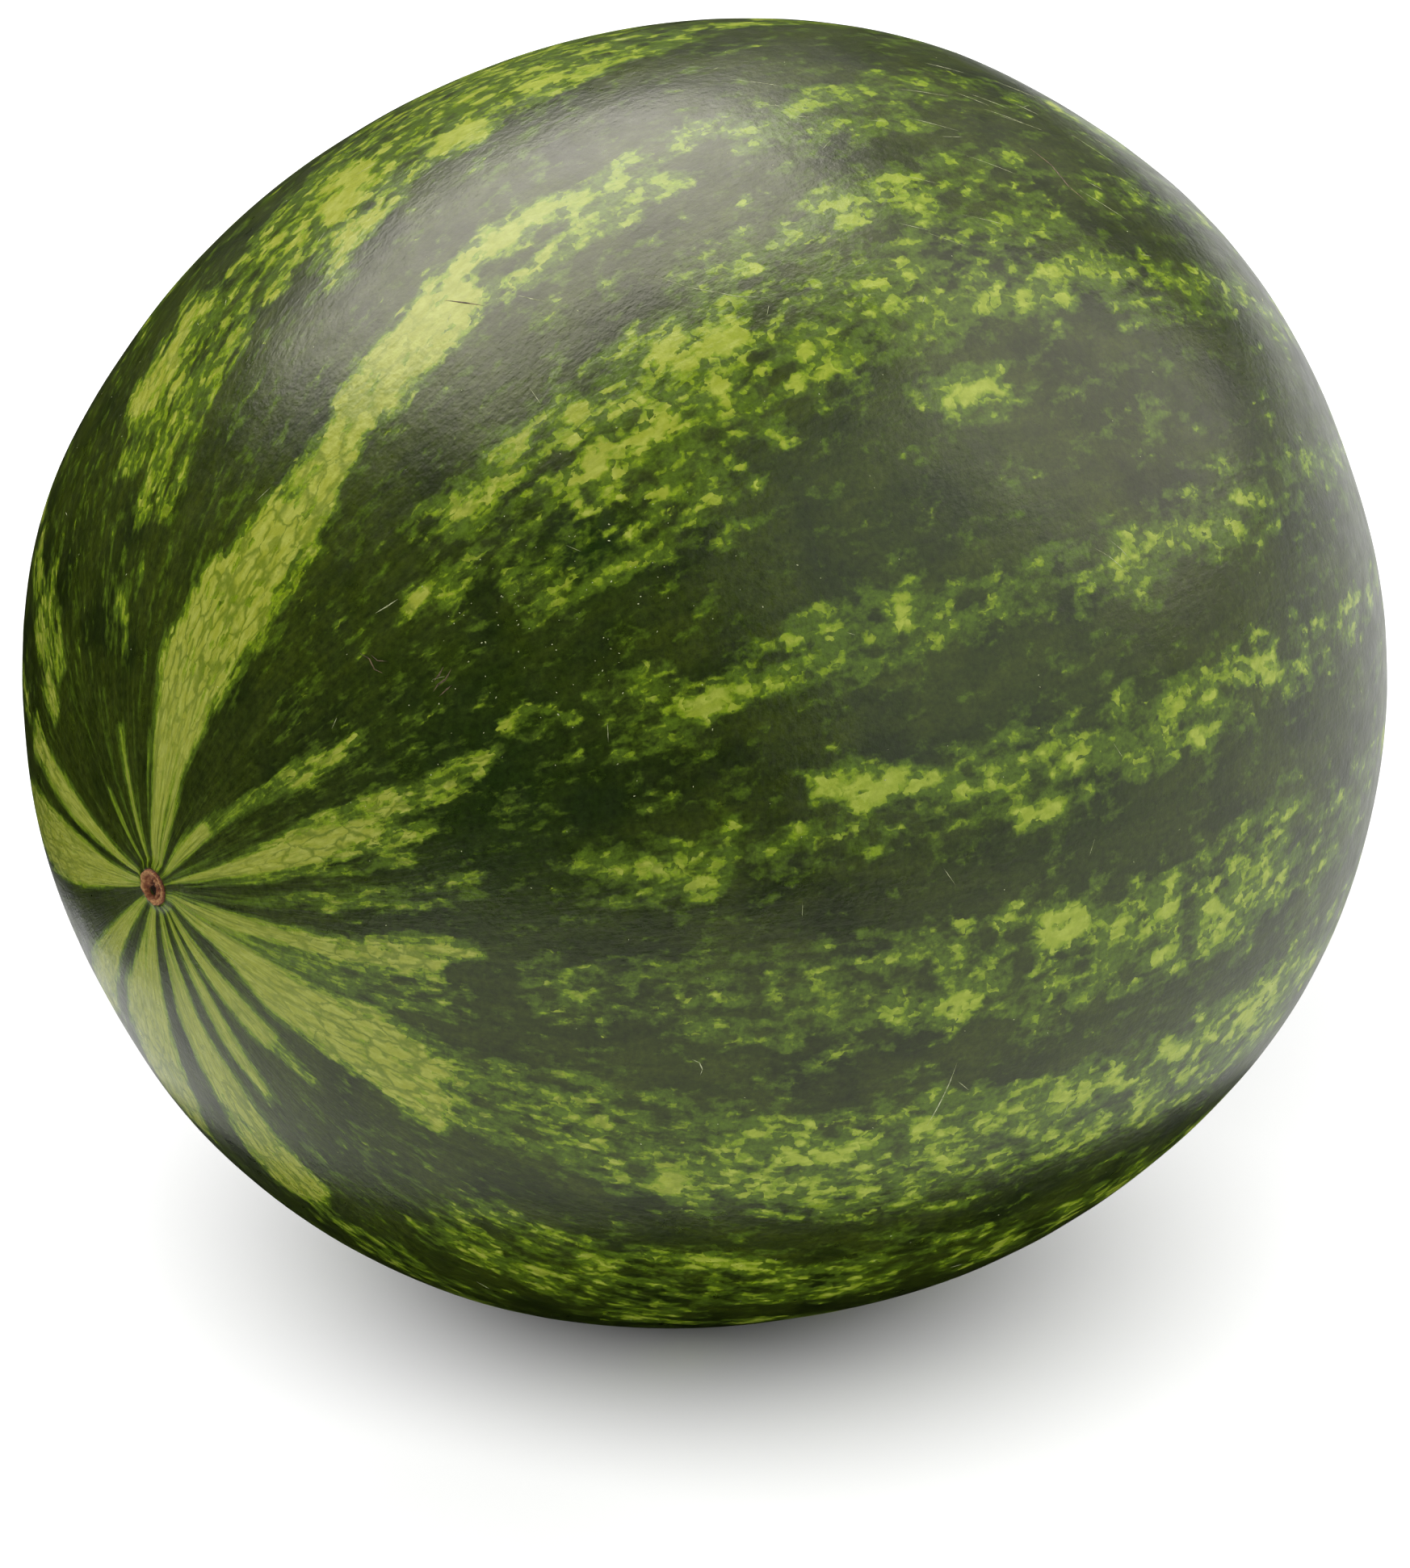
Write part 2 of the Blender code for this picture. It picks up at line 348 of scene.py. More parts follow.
ROW_UNDER = {
    SOLID: ((57, 64, 126.5, 129.3), (41, 43.5, 143, 145), (46, 49, 140, 142), (71, 74, 132, 134),
            (79, 81, 123.8, 125.6)),
    FLECKED: ((44, 50, 128.5, 132.5), (52, 58, 126.5, 130.5), (65, 72, 127, 130.5), (43, 54, 131, 136),
              (38, 42, 138, 142), (42, 52, 138, 146), (56, 63, 140, 145), (64, 68, 134, 138),
              (70, 78, 130, 136), (84, 90, 128, 134), (92, 106, 126, 132)),
    GREEN: ((37, 56, 128, 148), (52, 80, 125.5, 138), (82, 112, 124, 135), (112, 130, 122, 132),
            (38, 48, 155, 162)),
}
SEEN_ROWS = (ROW_BEHIND, ROW_TOP, ROW_UPPER, ROW_MIDDLE, ROW_LOWER, ROW_BELLY, ROW_BELOW, ROW_UNDER)

# %% [markdown]
# The side that the camera can't see is finished too. A rule lays rows there like the ones
# above: each carries on from where a stem wedge ends, wanders a little, and closes in on
# the blossom scar. Copying the seen side over would show as a repeat.

# %% Rows on the far side and at the blossom end
dice = random.Random(11)
# Each row is (around at the girth, first and last from_stem, width in degrees)
FAR_ROWS = (
    (-46, 52, 150, 6), (-64, 33, 165, 8), (-84, 26, 168, 9), (-104, 30, 166, 10), (-122, 44, 160, 7),
    (-141, 29, 168, 9), (-163, 32, 166, 10), (162, 36, 165, 8), (146, 58, 160, 7),
    (-30, 100, 166, 8), (-10, 104, 168, 8), (9, 114, 166, 8), (24, 110, 160, 6), (38, 128, 168, 8),
    (58, 128, 166, 7), (75, 126, 160, 7), (94, 130, 168, 8), (110, 114, 164, 9), (129, 106, 162, 9),
)


def far_row(around, first, last, wide):
    """Patches of one row that a rule lays out."""
    found = {SOLID: [], FLECKED: [], GREEN: []}
    at = float(first)
    while at < last:
        long = dice.uniform(3.5, 9.0)
        side = around + dice.uniform(-0.3, 0.3) * wide
        half = wide * dice.uniform(0.28, 0.55)
        found[GREEN].append((at - 1.5, at + long + 1.5, side - half, side + half))
        for _ in range(2):
            shift = side + dice.uniform(-0.6, 0.6) * half
            start = at + dice.uniform(0, 0.4) * long
            half_fleck = half * dice.uniform(0.3, 0.6)
            found[FLECKED].append((start, start + 0.6 * long, shift - half_fleck, shift + half_fleck))
        if dice.random() < 0.55:
            shift = side + dice.uniform(-0.5, 0.5) * half
            start = at + dice.uniform(0, 0.5) * long
            half_pale = dice.uniform(0.8, 2.0)
            found[SOLID].append((start, start + dice.uniform(1.5, 4.5), shift - half_pale, shift + half_pale))
        at += long + dice.uniform(0.0, 2.5)
    return found


FAR_SIDE = tuple(far_row(*row) for row in FAR_ROWS)
BLOSSOM_WEDGES = tuple(
    (dice.choice((SOLID, FLECKED, FLECKED)),
     ((dice.uniform(150, 160), at + 4, at + 10), (166, at + 2, at + 12), (178.8, at, at + 14)))
    for at in range(-180, 180, 26)
)
print("patches:", sum(len(p) for row in SEEN_ROWS + FAR_SIDE for p in row.values()))

# %% [markdown]
# From stencil to field. Each vertex asks every wedge and patch how deep inside it lies, in
# millimetres, and the depth becomes a number called pale: above 0.7 the rind is pale, below
# that it is mottled green, and at 0 it is dark. No shape gets past its own strength, so a
# flecked one turns pale only where the material's own breaks lift it. Other numbers say how
# the skin differs from place to place: how ragged the edges are (hardly at all at the stem),
# how veined, streaked or dulled the pale is, how yellow it is near the ends and how much
# paler it is made where the sheen falls, which is painted sheen, how deep the dark is, and
# where the wax is scuffed. They could be separate images, but a number on each vertex is exact.

# %% How far the growing pattern strays
ring_mm = MEAN_RADIUS * np.sin(np.radians(angle_stem)) * pi / 180
# Degrees from the nearer scar, but the blossom end's pattern is more drawn together
from_end = np.minimum(angle_stem, (180 - angle_stem) * 1.5)
SLOW_STRAY, QUICK_STRAY = 8.0 * MM, 3.2 * MM
# Another part of the same noise. It gives the same rind on each run, as noise_vector doesn't.
ELSEWHERE = Vector((31, 17, 23))


def wander(place):
    """How far the growing pattern strays at one place, in mm along and across the fruit."""
    slow, quick = place / SLOW_STRAY, place / QUICK_STRAY + Vector((5, 1, 9))
    along = 1.8 * noise.noise(slow) + 1.0 * noise.noise(quick)
    return along, 1.4 * noise.noise(slow + ELSEWHERE) + 0.9 * noise.noise(quick + ELSEWHERE)


strays = np.array([wander(Vector(p)) for p in points])
strays *= np.interp(from_end, (14, 40), (0.0, 1.0))[:, None]
field_stem = angle_stem + strays[:, 0] / MM_PER_DEGREE
field_around = angle_around + strays[:, 1] / np.maximum(ring_mm, 0.1)
print("the pattern strays by up to", np.abs(strays).max().round(1), "mm")


# %% How deep a place lies inside a wedge or a patch
def turned(angle):
    """The same angle between -180 and 180 degrees."""
    return (angle + 180) % 360 - 180


def wedge_depth(stations):
    """Depth inside a wedge in mm, below 0 outside it."""
    at, low, high = np.array(stations, float).T
    centre = np.interp(field_stem, at, (low + high) / 2)
    half = np.interp(field_stem, at, (high - low) / 2)
    sideways = (half - np.abs(turned(field_around - centre))) * ring_mm
    endways = np.minimum(field_stem - at[0], at[-1] - field_stem) * MM_PER_DEGREE
    return np.minimum(sideways, endways)


def patch_depth(first, last, low, high):
    """Depth inside a patch in mm, below 0 outside it."""
    along = (np.abs(field_stem - (first + last) / 2) - (last - first) / 2) * MM_PER_DEGREE
    about = (np.abs(turned(field_around - (low + high) / 2)) - (high - low) / 2) * ring_mm
    outside = np.hypot(np.maximum(along, 0), np.maximum(about, 0))
    return -(outside + np.minimum(np.maximum(along, about), 0))


# %% Let the wedges and patches into the field
PALE_FROM = 0.70
soft_edge = np.interp(from_end, (2, 6, 12, 28), (0.3, 0.5, 0.8, 1.4))
shrink = np.interp(from_end, (30, 45), (0.0, 0.3))


def laid(field, depth, strength):
    """The field with one more shape let in, no stronger than its own strength, and held down next to a scar
    as painted shade.
    """
    # Next to each scar the pale is held down to half, so the rind round the cork is darker: painted shade in
    # the gap round the scar
    most = strength * np.interp(from_end, (1.9, 2.8, 14), (0.5, 0.8, 1.0))
    edge = np.minimum(PALE_FROM, 0.55 * most)
    return np.maximum(field, np.clip(edge + 0.5 * (depth - shrink) / soft_edge, 0, most))


pale = np.zeros(len(angle_stem))
for strength, stations in WEDGES + BLOSSOM_WEDGES:
    pale = laid(pale, wedge_depth(stations), strength)
for row in SEEN_ROWS + FAR_SIDE:
    for strength, patches in row.items():
        for patch in patches:
            pale = laid(pale, patch_depth(*patch), strength)
print("share of the rind that is pale:", round(float((pale > PALE_FROM).mean()), 3))


# %% The other numbers of the rind
def gather(centre_stem, centre_around, spread):
    """A soft round area, 1 in its middle."""
    apart = ways(angle_stem, angle_around) @ ways(centre_stem, centre_around)
    return np.exp(-((np.degrees(np.arccos(np.clip(apart, -1, 1))) / spread) ** 2))


def share(values):
    """The same values, kept between 0 and 1."""
    return np.clip(values, 0, 1)


near_end = np.interp(from_end, (36, 62), (1.0, 0.0))
# Where the key's sheen falls, on the top and the upper side, the pale is made paler and creamier: painted
# sheen
painted_sheen_pale = 0.8 * gather(60, -20, 22) + 0.6 * gather(62, 34, 14) + 0.8 * gather(58, 6, 14)
fields = {
    "pale": pale,
    "ragged": np.interp(from_end, (6, 14, 26), (0.05, 0.35, 1.0)),
    "veined": np.interp(from_end, (8, 22, 40, 62), (0.15, 0.85, 0.8, 0.0)),
    "streaked": np.interp(from_end, (1, 6, 14, 30), (0.8, 0.9, 0.45, 0.05)),
    "yellowed_and_sheen": share(near_end + painted_sheen_pale),
    "dulled": 0.55 * share(gather(78, 6, 13) + gather(100, 12, 14)),
    "deep": share(0.9 * gather(54, 39, 4.5) + 0.75 * gather(38, 60, 14) + 0.45 * gather(85, 80, 12)),
    "scuffed": share(gather(110, 18, 11) + 0.6 * gather(100, 2, 8)),
}
for name, values in fields.items():
    layer = mesh.attributes.new(name, "FLOAT", "POINT")
    layer.data.foreach_set("value", values.astype(np.float32))
print("numbers on each vertex:", ", ".join(fields))

# %% [markdown]
# Rind finish. The skin is a hard, smooth green tissue under a thin coat of natural wax, so
# it is satin rather than wet: a broad grey sheen where the soft box is, and a deep, rich
# green away from it. Wax has an index of 1.44 to 1.50, its fine bloom makes it rough by
# about a third, and its sheen is a touch yellow. Colour comes in layers that grow over each
# other: dark skin, mottled leaf green, a lime fringe, and the pale colour inside it. Their
# edges follow small blocks of cells, which grow in rows along the fruit, so the blocks are
# drawn as a mosaic in the rind's own map. Real blocks are finer still. Here they are 1.3 by
# 1.6 mm, so that they hold at the size of a picture.

# %% Colours of the rind
BLACK_GREEN, DARK_GREEN, OLIVE_GREEN = "#131e02", "#222d03", "#2f3a04"
LEAF_GREEN, LIME_GREEN = "#3f5407", "#667c08"
PALE_GREEN, PALE_YELLOW, VEIN_GREEN = "#838b27", "#939a40", "#51640a"
FLECK_GREEN, FLECK_PALE = "#7f8f20", "#939f38"
DEEP_GREEN = "#122401"


# %% One function for colours and one for nodes
def linear(colour):
    """The linear colour of an sRGB hex value."""
    parts = [int(colour[i:i + 2], 16) / 255 for i in (1, 3, 5)]
    return (*(p / 12.92 if p <= 0.04045 else ((p + 0.055) / 1.055) ** 2.4 for p in parts), 1.0)


def add(tree, kind, inputs, take=0, **settings):
    """Adds a node with its settings, sets or links its inputs, and gives one output if it has any."""
    node = tree.nodes.new(kind)
    for name, value in settings.items():
        setattr(node, name, value)
    for socket, value in inputs.items():
        if isinstance(value, bpy.types.NodeSocket):
            tree.links.new(value, node.inputs[socket])
        else:
            node.inputs[socket].default_value = linear(value) if isinstance(value, str) else value
    return node.outputs[take] if node.outputs else None


MATH, VECTOR, MIX, RANGE = "ShaderNodeMath", "ShaderNodeVectorMath", "ShaderNodeMix", "ShaderNodeMapRange"
NOISE, CELLS, FIELD = "ShaderNodeTexNoise", "ShaderNodeTexVoronoi", "ShaderNodeAttribute"
SMOOTH = {"interpolation_type": "SMOOTHSTEP"}
PAINT = {"data_type": "RGBA", "take": 2}
# Sockets go by number. On RANGE, 0 is the value, 1 and 2 are where it starts and ends, and
# 3 and 4 are what comes out there. On MIX, 0 is the share of the upper colour or number.
# With PAINT 6 is the lower colour and 7 the upper, and for numbers it is 2 and 3.


# %% What all materials share
def new_material(name):
    """An empty material and its node tree."""
    material = bpy.data.materials.new(name)
    material.use_nodes = True
    material.node_tree.nodes.clear()
    return material, material.node_tree


def in_mm(tree):
    """The place on the object in mm, so that a noise can be given a real size."""
    spot = add(tree, "ShaderNodeTexCoord", {}, take="Object")
    return add(tree, VECTOR, {0: spot, "Scale": 1 / MM}, operation="SCALE")


def mixed(tree, start, *parts):
    """A sum of fields, each with its middle taken off and its own weight."""
    total = start
    for field, middle_value, weight in parts:
        centred = add(tree, MATH, {0: field, 1: middle_value}, operation="SUBTRACT")
        total = add(tree, MATH, {0: centred, 1: weight, 2: total}, operation="MULTIPLY_ADD")
    return total


def surface(tree, inputs):
    """Ends a material with one shader."""
    shader = add(tree, "ShaderNodeBsdfPrincipled", inputs)
    add(tree, "ShaderNodeOutputMaterial", {"Surface": shader})


def plain(name, colour, roughness, index):
    """A material of one colour."""
    material, tree = new_material(name)
    surface(tree, {"Base Color": colour, "Roughness": roughness, "IOR": index})
    return material


# %% Waxy rind: the maps it is drawn on
waxy_rind, tree = new_material("waxy_rind")
tube_map = add(tree, FIELD, {}, take="Vector", attribute_name="tube")
place = in_mm(tree)
here = {name: add(tree, FIELD, {}, take="Fac", attribute_name=name) for name in fields}

# Cells don't grow in straight lines, so the map drifts by about half a millimetre
DRIFT_SIZE, DRIFT_REACH = 2.4, 1.6
drift = add(tree, NOISE, {"Vector": place, "Scale": 1 / DRIFT_SIZE, "Detail": 3.0, "Roughness": 0.6},
            take="Color")
drift = add(tree, VECTOR, {0: drift, 1: (0.5, 0.5, 0.5)}, operation="SUBTRACT")
drift = add(tree, VECTOR, {0: drift, "Scale": DRIFT_REACH}, operation="SCALE")
loose = add(tree, VECTOR, {0: tube_map, 1: drift}, operation="ADD")


def stretched(across, along, where=loose):
    """The rind's own map with cells of this width and length in mm."""
    return add(tree, VECTOR, {0: where, 1: (1 / across, 1 / across, 1 / along)}, operation="MULTIPLY")


# %% Waxy rind: clumps, dots and blocks of cells, and the long fibres
# Clumps break the edges up in the large, dots and blocks in the small, and the fibres run
# along the fruit. Single cells are too fine to show, so the grain is 0.5 mm wide.
clumps = add(tree, NOISE, {"Vector": stretched(2.7, 4.2), "Scale": 1.0, "Detail": 3.0, "Roughness": 0.55})
softness = add(tree, NOISE, {"Vector": stretched(1.5, 2.0), "Scale": 1.0, "Detail": 3.0, "Roughness": 0.6})
grain = add(tree, NOISE, {"Vector": place, "Scale": 1 / 0.5, "Detail": 2.0, "Roughness": 0.6})
dot_gap = add(tree, CELLS, {"Vector": stretched(1.5, 1.9), "Scale": 1.0, "Randomness": 1.0}, take="Distance")
dot_dice = add(tree, "ShaderNodeSeparateColor", {0: dot_gap.node.outputs["Color"]})
dots = add(tree, RANGE, {0: dot_gap, 1: 0.15, 2: 0.70, 3: 1.0, 4: 0.0}, **SMOOTH)
dots = add(tree, MATH, {0: dots, 1: dot_dice}, operation="MULTIPLY")
block_cell = add(tree, CELLS, {"Vector": stretched(1.3, 1.6), "Scale": 1.0, "Randomness": 0.9},
                 take="Distance", distance="CHEBYCHEV")
blocks = add(tree, "ShaderNodeSeparateColor", {0: block_cell.node.outputs["Color"]})
fibres = add(tree, NOISE, {"Vector": stretched(2.0, 18.0), "Scale": 1.0, "Detail": 4.0, "Roughness": 0.65})
strands = add(tree, NOISE, {"Vector": stretched(6.5, 24.0), "Scale": 1.0, "Detail": 4.0, "Roughness": 0.6})
ghosts = add(tree, NOISE, {"Vector": stretched(7.0, 15.0), "Scale": 1.0, "Detail": 4.0, "Roughness": 0.6})

# %% Waxy rind: the masks of pale, lime and green
crisp_break = mixed(tree, 0.0, (clumps, 0.5, 2.1), (dots, 0.25, 0.35), (blocks, 0.5, 0.55),
                    (grain, 0.5, 0.14))
soft_break = mixed(tree, 0.0, (clumps, 0.5, 1.8), (softness, 0.5, 1.1), (grain, 0.5, 0.20))
streaking = mixed(tree, 0.0, (fibres, 0.5, 1.0), (strands, 0.5, 2.6))
streaking = add(tree, MATH, {0: streaking, 1: here["streaked"]}, operation="MULTIPLY")
level = add(tree, MATH, {0: crisp_break, 1: here["ragged"], 2: here["pale"]}, operation="MULTIPLY_ADD")
level = add(tree, MATH, {0: level, 1: streaking}, operation="ADD")
soft_level = add(tree, MATH, {0: soft_break, 1: here["ragged"], 2: here["pale"]}, operation="MULTIPLY_ADD")
soft_level = mixed(tree, soft_level, (ghosts, 0.5, 0.75))
soft_level = add(tree, MATH, {0: soft_level, 1: streaking}, operation="ADD")

pale_mask = add(tree, RANGE, {0: level, 1: PALE_FROM - 0.03, 2: PALE_FROM + 0.04}, **SMOOTH)
lime_mask = add(tree, RANGE, {0: level, 1: 0.42, 2: 0.68}, **SMOOTH)
green_mask = add(tree, RANGE, {0: soft_level, 1: 0.05, 2: 0.50}, **SMOOTH)

# %% [markdown]
# Veins and mottling. The pale wedges are netted with fine green veins, in meshes about 4 mm
# wide and 5 mm long, some hair-thin and some half a millimetre wide, with green blotches
# here and there. The veins are drawn as the borders of stretched cells. The dark skin is
# never one green either: it has cloudy streaks along the fruit and a fine grain, drawn here
# by noises. A noise alone would give blots, and never a closed net.

# %% Waxy rind: veins and blotches
kinks = add(tree, NOISE, {"Vector": place, "Scale": 1 / 1.3, "Detail": 2.0}, take="Color")
kinks = add(tree, VECTOR, {0: kinks, 1: (0.5, 0.5, 0.5)}, operation="SUBTRACT")
kinks = add(tree, VECTOR, {0: kinks, "Scale": 1.8}, operation="SCALE")
net = stretched(3.7, 5.2, add(tree, VECTOR, {0: loose, 1: kinks}, operation="ADD"))
vein_gap = add(tree, CELLS, {"Vector": net, "Scale": 1.0}, take="Distance", feature="DISTANCE_TO_EDGE")
vein_noise = add(tree, NOISE, {"Vector": place, "Scale": 1 / 2.6, "Detail": 3.0, "Roughness": 0.6})
vein_width = add(tree, RANGE, {0: vein_noise, 1: 0.36, 2: 0.64, 3: 0.01, 4: 0.26})
vein_line = add(tree, RANGE, {0: vein_gap, 1: 0.0, 2: vein_width, 3: 0.95, 4: 0.0}, **SMOOTH)
blotches = add(tree, NOISE, {"Vector": stretched(2.3, 4.4), "Scale": 1.0, "Detail": 2.0, "Roughness": 0.5})
blotches = add(tree, RANGE, {0: blotches, 1: 0.57, 2: 0.65, 4: 0.75}, **SMOOTH)
veins = add(tree, MATH, {0: vein_line, 1: blotches}, operation="MAXIMUM")
veins = add(tree, MATH, {0: veins, 1: here["veined"]}, operation="MULTIPLY")
stripes = add(tree, RANGE, {0: mixed(tree, fibres, (strands, 0.5, 1.0)), 1: 0.52, 2: 0.70})
stripes = add(tree, MATH, {0: stripes, 1: here["streaked"]}, operation="MULTIPLY")

# %% Waxy rind: the colours, one over the other
streaks = add(tree, NOISE, {"Vector": stretched(2.2, 9.0), "Scale": 1.0, "Detail": 5.0, "Roughness": 0.65})
streaks = add(tree, RANGE, {0: streaks, 1: 0.40, 2: 0.66})
clouds = add(tree, NOISE, {"Vector": place, "Scale": 1 / 11.0, "Detail": 4.0, "Roughness": 0.6})
clouds = add(tree, RANGE, {0: clouds, 1: 0.46, 2: 0.66, 4: 0.85})
dark = add(tree, MIX, {0: streaks, 6: DARK_GREEN, 7: OLIVE_GREEN}, **PAINT)
dark = add(tree, MIX, {0: clouds, 6: dark, 7: BLACK_GREEN}, **PAINT)
dark = add(tree, MIX, {0: here["deep"], 6: dark, 7: DEEP_GREEN}, **PAINT)

tone = add(tree, RANGE, {0: softness, 1: 0.40, 2: 0.66})
fleck = add(tree, MIX, {0: tone, 6: FLECK_GREEN, 7: FLECK_PALE}, **PAINT)
light = add(tree, MIX, {0: tone, 6: PALE_GREEN, 7: PALE_YELLOW}, **PAINT)
# Pale goes paler near the ends, which is the rind's own colour, and where the sheen falls, which is painted
# sheen
light = add(tree, MIX, {0: here["yellowed_and_sheen"], 6: fleck, 7: light}, **PAINT)
light = add(tree, MIX, {0: here["dulled"], 6: light, 7: LIME_GREEN}, **PAINT)
inside = add(tree, RANGE, {0: level, 1: PALE_FROM, 2: PALE_FROM + 0.22, 3: 0.25}, **SMOOTH)
light = add(tree, MIX, {0: inside, 6: LIME_GREEN, 7: light}, **PAINT)
light = add(tree, MIX, {0: stripes, 6: light, 7: VEIN_GREEN}, **PAINT)
light = add(tree, MIX, {0: veins, 6: light, 7: VEIN_GREEN}, **PAINT)

green = add(tree, MIX, {0: lime_mask, 6: LEAF_GREEN, 7: LIME_GREEN}, **PAINT)
colour = add(tree, MIX, {0: green_mask, 6: dark, 7: green}, **PAINT)
colour = add(tree, MIX, {0: pale_mask, 6: colour, 7: light}, **PAINT)

# %% Waxy rind: fine grain, which shows in the dark skin and hardly in the pale
speckle = add(tree, NOISE, {"Vector": place, "Scale": 1 / 0.8, "Detail": 3.0, "Roughness": 0.7})
shade = add(tree, RANGE, {0: speckle, 1: 0.3, 2: 0.7, 3: 0.62, 4: 1.45})
steady = add(tree, MATH, {0: pale_mask, 1: 0.85}, operation="MULTIPLY")
shade = add(tree, MIX, {0: steady, 2: shade, 3: 1.0}, data_type="FLOAT")
colour = add(tree, VECTOR, {0: colour, "Scale": shade}, operation="SCALE")

# %% Waxy rind: satin gloss over a finely hammered and wrinkled skin
# The real skin's pores and cell rows are too fine to show, so they are 0.9 mm wide or more
ROUGHNESS, WAX_INDEX, WAX_TINT = 0.30, 1.50, "#ffffe8"
HAMMERED_DEPTH, LEATHER_DEPTH, WRINKLE_DEPTH = 0.052 * MM, 0.052 * MM, 0.035 * MM
gloss_noise = add(tree, NOISE, {"Vector": place, "Scale": 1 / 3.0, "Detail": 3.0})
roughness = add(tree, RANGE, {0: gloss_noise, 1: 0.3, 2: 0.7, 3: ROUGHNESS - 0.03, 4: ROUGHNESS + 0.05})
roughness = add(tree, MATH, {0: here["scuffed"], 1: 0.25, 2: roughness}, operation="MULTIPLY_ADD")
hammered = add(tree, NOISE, {"Vector": place, "Scale": 1 / 2.2, "Detail": 3.0, "Roughness": 0.55})
leather = add(tree, NOISE, {"Vector": place, "Scale": 1 / 0.9, "Detail": 3.0, "Roughness": 0.6})
wrinkles = stretched(0.9, 3.2, tube_map)
wrinkles = add(tree, NOISE, {"Vector": wrinkles, "Scale": 1.0, "Detail": 3.0, "Roughness": 0.6})
bump = add(tree, "ShaderNodeBump", {"Height": hammered, "Distance": HAMMERED_DEPTH})
bump = add(tree, "ShaderNodeBump", {"Height": leather, "Distance": LEATHER_DEPTH, "Normal": bump})
bump = add(tree, "ShaderNodeBump", {"Height": wrinkles, "Distance": WRINKLE_DEPTH, "Normal": bump})
surface(tree, {"Base Color": colour, "Roughness": roughness, "IOR": WAX_INDEX,
               "Specular Tint": WAX_TINT, "Normal": bump})
mesh.materials.append(waxy_rind)
print("waxy rind:", len(tree.nodes), "nodes")
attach(rind, "root")
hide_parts("watermelon")

# %% [markdown]
# Scars. Where the fruit broke from its stalk a button of dry, corky tissue is left, about
# 5 mm wide, with fibres across it, a small pit and a raised rim. At the other end the
# flower left a smaller one. Each is a round cap laid on the rind in its dimple, with its
# skirt sunk in, because a cap of its own can be finer than the rind's rings there.

# %% How a piece joins the fruit
def new_piece(name, bm):
    """Makes a piece of the fruit from a finished bmesh."""
    piece_mesh = bpy.data.meshes.new(name)
    bm.to_mesh(piece_mesh)
    bm.free()
    piece_mesh.shade_smooth()
    piece = placed(name, piece_mesh)
    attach(piece, "root")
    return piece


# %% The height of the cork
# Heights and places on a cap are shares of its radius
CAP_LIFT, FIBRE_LIFT, GRIT_LIFT = 0.12, 0.10, 0.04
CAP_RIM, CAP_RIM_WIDTH, CAP_RIM_LIFT = 0.78, 0.12, 0.10
SKIRT, SKIRT_DROP = 0.86, 0.34


def cap_height(side, reach, fibre_angle, pits):
    """Height of the cap above the rind at one place on it."""
    turn = radians(fibre_angle)
    along = side.x * cos(turn) + side.y * sin(turn)
    over = -side.x * sin(turn) + side.y * cos(turn)
    fibre = noise.noise(Vector((along * 1.4, over * 7.0, 0.0)))
    grit = noise.noise(Vector((along * 7.0, over * 14.0, 5.0)))
    height = CAP_LIFT + FIBRE_LIFT * fibre + GRIT_LIFT * grit
    height += CAP_RIM_LIFT * exp(-(((reach - CAP_RIM) / CAP_RIM_WIDTH) ** 2))
    for x, y, size, depth in pits:
        apart = hypot(side.x - x, side.y - y) / size
        height -= depth * exp(-(apart ** 2))
    return height - SKIRT_DROP * max(0.0, (reach - SKIRT) / (1 - SKIRT)) ** 2


# %% Corky caps
CAP_RINGS, CAP_SPOKES = 26, 72
# The cork of the blossom scar stops just inside its rim
BLOSSOM_CAP_RADIUS = 1.6 * MM
# Each pit is (x, y, size, depth)
STEM_PITS = ((-0.25, -0.38, 0.24, 0.42), (-0.22, 0.12, 0.13, 0.20))
BLOSSOM_PITS = ((0.0, 0.0, 0.25, 0.3),)


def corky_cap(name, end, radius, fibre_angle, pits):
    """A round corky cap at one end of the fruit, 0 or 180, with fibres across it."""
    bm = bmesh.new()
    heights = []

    def cap_point(around, reach):
        """One vertex of the cap, at a share of its radius."""
        turn = radians(around)
        wobble = 1 + 0.05 * noise.noise(Vector((cos(turn) * 1.5, sin(turn) * 1.5, radius)))
        out = radius * wobble * reach
        angle = degrees(asin(out / (GIRTH_DIAMETER / 2)))
        base, normal = rind_points(ways(abs(end - angle), around))
        side = Vector((sin(turn), cos(turn))) * out / radius
        heights.append(cap_height(side, reach, fibre_angle, pits))
        return bm.verts.new(base + SET_DOWN + normal * heights[-1] * radius)

    spokes = [360 * spoke / CAP_SPOKES for spoke in range(CAP_SPOKES)]
    rows = [[cap_point(around, ring / CAP_RINGS) for around in spokes] for ring in range(1, CAP_RINGS + 1)]
    top = cap_point(0.0, 0.0)
    for spoke in range(CAP_SPOKES):
        after = (spoke + 1) % CAP_SPOKES
        bm.faces.new((top, rows[0][spoke], rows[0][after]))
        for inner, outer in zip(rows, rows[1:]):
            bm.faces.new((inner[spoke], outer[spoke], outer[after], inner[after]))
    bm.faces.new(rows[-1])
    bmesh.ops.recalc_face_normals(bm, faces=bm.faces[:])
    cap = new_piece(name, bm)
    layer = cap.data.attributes.new("raised", "FLOAT", "POINT")
    layer.data.foreach_set("value", heights)
    print(name, "is", round(2 * radius / MM, 1), "mm wide")
    return cap


stem_scar = corky_cap("stem_scar", 0.0, STEM_SCAR_RADIUS, 55, STEM_PITS)
blossom_scar = corky_cap("blossom_scar", 180.0, BLOSSOM_CAP_RADIUS, 20, BLOSSOM_PITS)
